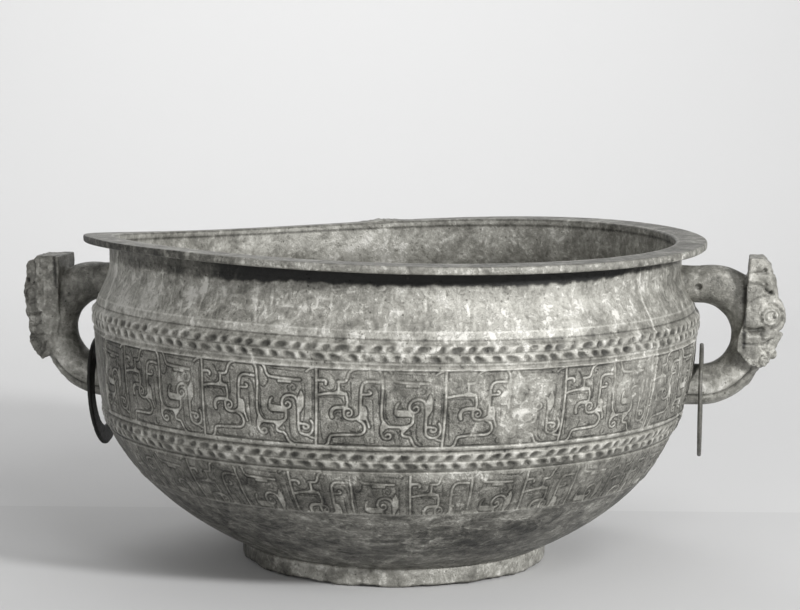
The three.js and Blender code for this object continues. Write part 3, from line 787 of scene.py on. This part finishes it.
def one_skin(shells, voxel):
    """One continuous skin over overlapping closed shells: its points, faces and normals."""
    points, faces, start = [], [], 0
    for shell_points, shell_faces in shells:
        points.append(shell_points)
        faces += [[start + i for i in face] for face in shell_faces]
        start += len(shell_points)
    mesh = bpy.data.meshes.new("casting_core")
    mesh.from_pydata((np.concatenate(points) * MM).tolist(), [], faces)
    core = placed("casting_core", mesh)
    skin = core.modifiers.new("skin", "REMESH")
    skin.mode = "VOXEL"
    skin.voxel_size = voxel * MM
    done = core.evaluated_get(bpy.context.evaluated_depsgraph_get()).to_mesh()
    place = np.empty(len(done.vertices) * 3)
    normal = np.empty(len(done.vertices) * 3)
    corner = np.empty(len(done.loops), int)
    done.vertices.foreach_get("co", place)
    done.vertices.foreach_get("normal", normal)
    done.loops.foreach_get("vertex_index", corner)
    place, normal, corner = place.reshape(-1, 3) / MM, normal.reshape(-1, 3), corner.reshape(-1, 4)
    bpy.data.objects.remove(core)
    bpy.data.meshes.remove(mesh)
    return place, corner, normal


def arc(x, z, radius, start, end):
    """A line round a centre from one turn in degrees to another."""
    turn = np.radians(np.linspace(start, end, 14))
    return [(x + radius * cos(t), z + radius * sin(t)) for t in turn]


def arm_shell():
    """The loop of the arm, thicker below and at its upper shoulder."""
    turns = np.linspace(90, -90, 49)
    grown = np.where(turns > 0, 4 * np.sin(np.radians(2 * np.clip(turns, 0, 90))),
                     2.7 * np.clip(-np.sin(np.radians(turns)), 0, 1) ** 3)
    path = HOLE_RADIUS + ARM_RADIUS + grown / 2
    loop = [(HOLE_X + r * cos(radians(t)), HOLE_Z + r * sin(radians(t)))
            for r, t in zip(path, turns)]
    roots = np.linspace(181, HOLE_X - 1.5, 10)
    top, low = loop[0][1], loop[-1][1]
    centres = [(x, top) for x in roots] + loop + [(x, low) for x in roots[::-1]]
    widths = np.concatenate([np.full(10, ARM_RADIUS), ARM_RADIUS + grown / 2,
                             np.full(10, ARM_RADIUS + 1.35)])
    return round_bar(centres, widths, np.full(len(centres), ARM_RADIUS))


# The animal's face: brows, bulging eyes, ears, a snout with nostrils, teeth and a jaw.
# Each lump is its place and its three half sizes; all but those in the middle come in pairs.
face_lumps = [
    (249.8, 8.4, 186.5, 4.6, 4.6, 4.6), (248.8, 8.6, 193.5, 3.2, 7.4, 2.4),
    (243, 14.5, 205, 3.8, 3.6, 4.6), (252.8, 0, 186, 3, 2.6, 13),
    (257.4, 3.4, 171, 4.2, 4.4, 7.4), (257.4, 3, 158, 2.4, 3.4, 1.9),
    (254.6, 4.6, 152.4, 1.5, 1.4, 4), (253.4, 0, 145.5, 3.6, 5.6, 3.6),
    (246, 13.4, 176, 5.2, 2.6, 8),
]

# Side view of each mask, its raised discs (place, radius, rise) and its cut lines
# (half width, depth, line); a line of less than no depth is a ridge
right_outline = [
    (237.2, 210.2), (246, 210.4), (249.2, 206.7), (251.2, 204.6), (252.7, 198.2), (255.6, 190),
    (256.2, 182.6), (259.2, 180), (261, 175), (261, 168), (259.4, 162.4), (256.2, 160.9),
    (258.8, 157.2), (256.2, 151), (252, 145.4), (251.2, 140.8), (245.7, 137.6), (238.5, 139.8),
    (235.6, 142.4), (229.8, 149.4), (230.2, 157), (233.4, 166), (235.2, 178), (235.6, 192),
]
right_discs = [(251, 171.6, 5.6, 1.6), (253.4, 171.4, 1.2, -1.2), (248.2, 142.2, 3.3, 1.4),
               (247.4, 202.4, 1.3, -2.2), (204, 190, 2.2, -1.8), (251.6, 187.8, 1.2, -1.4)]
right_lines = [
    (0.7, 1.8, [(237, 194.1), (242, 193.6), (247.2, 191), (250, 187.6), (253, 186.4)]),
    (1.3, 3, [(235, 163.4), (240, 162.6), (246.6, 163.2)]),
    (0.6, 1.5, [(235, 153.6), (244, 153.2), (250, 154)]),
    (0.7, 1.4, arc(251, 171.6, 8.4, -80, 95)), (0.5, 1, arc(251.2, 171.6, 3.4, 20, 320)),
    (0.5, 1.3, arc(248.2, 142.2, 2, 30, 330)),
    (0.5, 1.1, [(245.4, 160.4), (246.4, 156.6), (250, 155.2), (253.6, 157)]),
    (0.6, 1, [(247, 150.4), (250.6, 147), (251.6, 143)]),
    (0.6, 1.2, [(237, 200.6), (243, 201), (249, 199.8)]),
    (1.2, -0.9, [(236, 158.5), (245.5, 158.2)]),
    (0.5, 0.8, [(238, 181), (243, 184.6), (249.6, 185.2)]),
]
left_outline = [
    (231.6, 209.6), (248.4, 210.2), (250.6, 207.2), (255.6, 206.2), (258, 203.6),
    (259, 193.4), (260.6, 189.4), (261.2, 182), (260.4, 175), (259, 169.6), (258.4, 164),
    (258.8, 159.6), (257.4, 155.6), (258.4, 151.8), (257.2, 148), (254.6, 145.5), (253.4, 141.6),
    (248.4, 138), (243.6, 141.2), (238, 152), (235, 166), (233.2, 188.2), (231.4, 204.2),
]
left_discs = [
    (254.4, 183.5, 6.4, 1.2), (253.8, 148.2, 4.6, 1.2), (246, 203, 1.4, -1.2),
    (257, 193, 1.8, -1.6),
]
left_lines = [
    (0.9, 2.6, [(261, 168.8), (254, 169), (247, 170)]),
    (0.5, 1.2, [(260, 155.4), (252, 154.8), (246, 155.4)]),
    (1, -1, [(243.6, 194), (243.4, 176)]), (0.9, -0.8, [(248.6, 200), (248.2, 178)]),
    (0.6, 1, arc(254.4, 183.5, 4.2, -120, 140)), (0.5, 1, arc(253.8, 148.2, 2.8, -30, 250)),
    (0.6, 1.2, [(251, 206.4), (250.8, 196), (252.4, 191)]),
    (0.5, 1.1, [(248, 165), (252, 161), (258, 162)]),
    (0.6, 1, [(245.4, 150), (247.6, 143.6), (250.4, 139.6)]),
]


def handle(node, side, outline, discs, lines, merge, lightness, spots):
    """One handle casting, side 1 for the right and -1 for the left, in place of its node.

    Its spots are places, spreads and changes of lightness."""
    lumps = [knob(x, y * s, z, rx, ry, rz) for x, y, z, rx, ry, rz in face_lumps
             for s in ((1, -1) if y else (1,))]
    points, faces, normal = one_skin([arm_shell(), mask_block(outline, merge)] + lumps, SKIN_STEP)
    x, z = points[:, 0], points[:, 2]
    sideways = ramp(0.35, 0.75, np.abs(normal[:, 1]))
    relief, groove, pale = np.zeros((3, len(x)))
    for half_width, depth, line in lines:
        weight = peak(line_distance(x, z, np.array(line, float)), 0, half_width)
        relief -= depth * weight
        groove += 0.6 * weight * (depth > 0)
        pale += 0.6 * weight * (depth < 0)
    for cx, cz, radius, lift in discs:
        gap = np.hypot(x - cx, z - cz)
        relief += lift * ramp(radius + 0.5, radius - 0.7, gap)
        worn_ring = 0.3 + 0.3 * np.clip(uneven(points, 7, 56) + 0.3, 0, 1)
        groove += worn_ring * peak(gap, radius + 0.3, 0.6) if lift > 0 else (gap < radius) * 0.8
    around = np.hypot(np.maximum(x - HOLE_X, 0), z - HOLE_Z)
    lower = ramp(150, 138, z) * (x < 240)
    rib = peak(around, RIB_RADIUS, 0.8) * lower
    relief -= 1.0 * rib
    relief += 0.5 * ramp(41.2, 42.6, around) * lower
    groove += 0.8 * rib
    relief *= sideways
    on_mask = ramp(232, 237, x)
    rough = uneven(points, 9, 51 + side) * 0.35 + uneven(points, 3.4, 52 + side) * 0.22
    relief += rough * on_mask + uneven(points, 12, 53) * 0.15
    relief -= np.clip(uneven(points, 4.5, 54 + side) - 0.85, 0, 1) * 1.6 * on_mask
    points = points + normal * relief[:, None]
    # Painted shade in the step where the mask's back stands out past the arm, put into the groove
    # mark
    mask_step_shade = peak(x, MASK_BACK - 0.4, 1.3) * ramp(8, 11, np.abs(points[:, 1]))
    mask_step_shade *= ramp(184, 192, z) if merge else ramp(147, 153, z)
    tone = lightness + uneven(points, 16, 55 + side) * 0.05
    tone += 0.1 * lower * ramp(40, 38, around) * ramp(30, 32, around)
    for cx, cz, spread, change in spots:
        tone += change * np.exp(-((x - cx) ** 2 + (z - cz) ** 2) / spread ** 2)
    marks = {"groove": np.clip(groove * sideways + 1.3 * mask_step_shade, 0, 1.4), "pale": pale * sideways,
             "tone": tone, "crust": np.clip(0.25 + 0.45 * on_mask, 0, 1)}
    if side < 0:
        tilt = radians(LEFT_TILT)
        dx, dz = points[:, 0] - NECK_RADIUS, points[:, 2] - HOLE_Z
        out = dx * cos(tilt) + dz * sin(tilt) + NECK_RADIUS - LEFT_SHIFT
        up = -dx * sin(tilt) + dz * cos(tilt) + HOLE_Z - LEFT_DROP
        points = np.stack([-out, -points[:, 1], up], 1)
    # The ends of the arm close on the wall, just inside its skin
    lean = side_lean(points[:, 2])
    from_axis = np.hypot(points[:, 0] + lean, points[:, 1])
    limit = wall_radius(points[:, 2]) - 0.9
    pushed = np.maximum(limit / np.maximum(from_axis, 1), 1)
    points[:, 0] = (points[:, 0] + lean) * pushed - lean
    points[:, 1] *= pushed
    bronze_piece(node + "_casting", points, faces, marks, handle_bronze,
                 nodes=[node])


handle_bronze = patina("handle_bronze", 0.6, 1.0, 0.22, basin_shades)
handle("handle_right", 1, right_outline, right_discs, right_lines, 0.0, 0.01,
       [(214, 178, 12, -0.08), (196, 186, 7, 0.08), (222, 126, 9, 0.12), (243, 205, 6, 0.12),
        (246, 178, 9, 0.08), (208, 118, 8, 0.08), (241, 147, 7, -0.08)])
# On the left handle the darkening at (210, 187) is painted shadow of the body on its upper arm
handle("handle_left", -1, left_outline, left_discs, left_lines, 6.0, 0.0,
       [(239, 167, 8, 0.16), (237, 150, 8, 0.18), (230, 137, 9, 0.13), (252, 178, 6, -0.1),
        (226, 176, 9, -0.1), (210, 187, 15, -0.12), (247, 204, 7, 0.08), (244, 186, 4, 0.08),
        (222, 124, 8, 0.06)])

# Loose rings
# A flat bronze ring with worn edges hangs loose round each lower arm. Both are darker than
# the basin, the left one nearly black.
RING_PIVOTS = {"ring_left": (-208.1, 0, 116.368), "ring_right": (207.0, 0, 123.45)}
RING_INSIDE = 24.8
RING_OUTSIDE = 38.0


def loose_ring(node, hangs, tilt, twist, finish):
    """A flat ring that hangs so far below its pivot, tilted and twisted by some degrees."""
    outline = [(RING_INSIDE, 0), (25.0, -0.8), (25.7, -1.3), (37.1, -1.35), (37.8, -0.8),
               (RING_OUTSIDE, 0), (37.8, 0.8), (37.1, 1.35), (25.7, 1.3), (25.0, 0.8)]
    profile = np.array(rows_between(outline + outline[:1], 1.3)[:-1])
    columns = 160
    turn = np.linspace(0, 2 * np.pi, columns, endpoint=False)
    r = np.repeat(profile[:, 0], columns)
    t = np.tile(turn, len(profile))
    points = np.stack([np.repeat(profile[:, 1], columns), np.cos(t) * r, np.sin(t) * r], 1)
    worn = np.clip(uneven(points, 9, 61), 0, 1) * 0.35
    worn += np.clip(uneven(points, 3, 62), 0, 1) * 0.15
    mid_radius = (RING_INSIDE + RING_OUTSIDE) / 2
    away = points[:, 1:] - np.array([mid_radius * np.cos(t), mid_radius * np.sin(t)]).T
    points[:, 1:] -= away * (worn / 6.6)[:, None]
    points[:, 0] *= 1 - 0.25 * worn
    points[:, 2] -= hangs
    faces = sheet_faces(len(profile), columns, closed=True)
    closing = sheet_faces(2, columns, closed=True)
    last = (len(profile) - 1) * columns
    closing = np.where(closing < columns, closing + last, closing - columns)
    hung = Matrix.Rotation(radians(twist), 3, "Z") @ Matrix.Rotation(radians(-tilt), 3, "Y")
    points = points @ np.array(hung).T + RING_PIVOTS[node]
    marks = {"crust": np.full(len(points), 0.2)}
    bronze_piece(node + "_casting", points, np.concatenate([faces, closing]), marks, finish,
                 node, [node])


loose_ring("ring_left", 9.55, 5, 3, patina("ring_left_bronze", 0.03, 0.3, 0.2, basin_shades))
loose_ring("ring_right", 10.45, 0, 0, patina("ring_right_bronze", 0.42, 0.6, 0.25, basin_shades))


# Table and backdrop
# A pale table top, and behind it a pale paper backdrop that sweeps up from below its edge.
# Both are plain, under soft studio light from the right, with weaker lights round about.
def paper(name, grey):
    """Matt paper of one pale grey, very slightly cloudy."""
    material = bpy.data.materials.new(name)
    material.use_nodes = True
    shader = material.node_tree.nodes["Principled BSDF"]
    skin = Skin(material.node_tree)
    place = skin.node("TexCoord", {}, {}, out="Object")
    shade = place.cloud(260, 3, 0.5) * 0.02 + 0.5
    stops = [(0.0, (grey * 0.9,) * 3), (1.0, (grey * 1.1,) * 3)]
    tint = place.node("ValToRGB", {"stops": stops}, {"Fac": shade})
    material.node_tree.links.new(tint.socket, shader.inputs["Base Color"])
    shader.inputs["Roughness"].default_value = 0.9
    return material


def flat_board(name, rows, material):
    """A plain sheet of the studio, from its rows of points."""
    mesh = bpy.data.meshes.new(name)
    points = [point for row in rows for point in row]
    mesh.from_pydata(points, [], sheet_faces(len(rows), len(rows[0])).tolist())
    mesh.shade_smooth()
    mesh.materials.append(material)
    placed(name, mesh)


camera_turn = radians(8.7)
across, back = cos(camera_turn), sin(camera_turn)


def studio_place(right, away, up):
    """A point set out from the camera's side: metres to its right, away from it, and up."""
    return (right * across - away * back, right * back + away * across, up)


def studio_row(away, up):
    """The two ends of a straight row across the studio."""
    return [studio_place(-HALF_WIDTH, away, up), studio_place(HALF_WIDTH, away, up)]


TABLE_NEAR = -2.6
TABLE_EDGE = 0.142
HALF_WIDTH = 3.2
SWEEP_START = 1.25
SWEEP_RADIUS = 1.1
SWEEP_TOP = 4.0
UNDER_TABLE = -0.001
flat_board("table_top", [studio_row(TABLE_NEAR, 0), studio_row(TABLE_EDGE, 0)],
           paper("table_paper", 0.65))
sweep = [(TABLE_EDGE, UNDER_TABLE), (SWEEP_START, UNDER_TABLE)]
for degrees in range(6, 91, 6):
    t = radians(degrees)
    sweep.append((SWEEP_START + SWEEP_RADIUS * sin(t), SWEEP_RADIUS * (1 - cos(t)) + UNDER_TABLE))
sweep.append((SWEEP_START + SWEEP_RADIUS, SWEEP_TOP))
flat_board("backdrop", [studio_row(*place) for place in sweep], paper("backdrop_paper", 0.7))


def soft_light(name, power, size, place, aim):
    """A round soft light of so many watts and metres across, aimed at a point."""
    lamp = bpy.data.lights.new(name, "AREA")
    lamp.energy = power
    lamp.shape = "DISK"
    lamp.size = size
    light = placed(name, lamp)
    toward = np.subtract(aim, place)
    light.location = place
    light.rotation_euler = (atan2(hypot(*toward[:2]), -toward[2]), 0,
                            atan2(toward[0], -toward[1]) + pi)


soft_light("key_light", 50, 0.3, studio_place(1.6, -1.5, 0.98), (0, 0, 0.12))
soft_light("fill_light", 10, 1.4, studio_place(-1.3, -2.0, 0.8), (0, 0, 0.12))
soft_light("front_light", 12, 0.8, studio_place(0.7, -1.9, 1.7), (0, 0, 0))
soft_light("back_light", 5, 1.2, studio_place(-0.9, 1.5, 1.8), (0, 0, 0))
soft_light("paper_light", 22, 1.2, studio_place(-0.2, 1.3, 2.2), studio_place(0.0, 2.35, 1.3))

world = bpy.data.worlds.new("studio_room")
world.use_nodes = True
world.node_tree.nodes["Background"].inputs["Color"].default_value = (1, 1, 1, 1)
world.node_tree.nodes["Background"].inputs["Strength"].default_value = 0.28
bpy.context.scene.world = world
bpy.context.scene.view_settings.view_transform = "Standard"

# Camera
# It stands at the photograph's angle: 1.45 m in front, a little to the right and above the rim,
# tipped down on to the basin.
CAMERA_DISTANCE = 1.45
CAMERA_HEIGHT = 0.3357
CAMERA_DOWN = 6.46
CAMERA_ROLL = 0.0085
SENSOR_WIDTH = 36
FOCAL_SHARE = 2.675
lens = bpy.data.cameras.new("camera")
lens.lens = SENSOR_WIDTH * FOCAL_SHARE
lens.sensor_width = SENSOR_WIDTH
lens.shift_x = 0.005
camera = placed("camera", lens)
stand = Matrix.Translation((0, -CAMERA_DISTANCE, CAMERA_HEIGHT))
roll = Matrix.Rotation(CAMERA_ROLL, 4, "Z")
tip = Matrix.Rotation(radians(90 - CAMERA_DOWN), 4, "X") @ roll
camera.matrix_world = Matrix.Rotation(camera_turn, 4, "Z") @ stand @ tip
bpy.context.scene.camera = camera
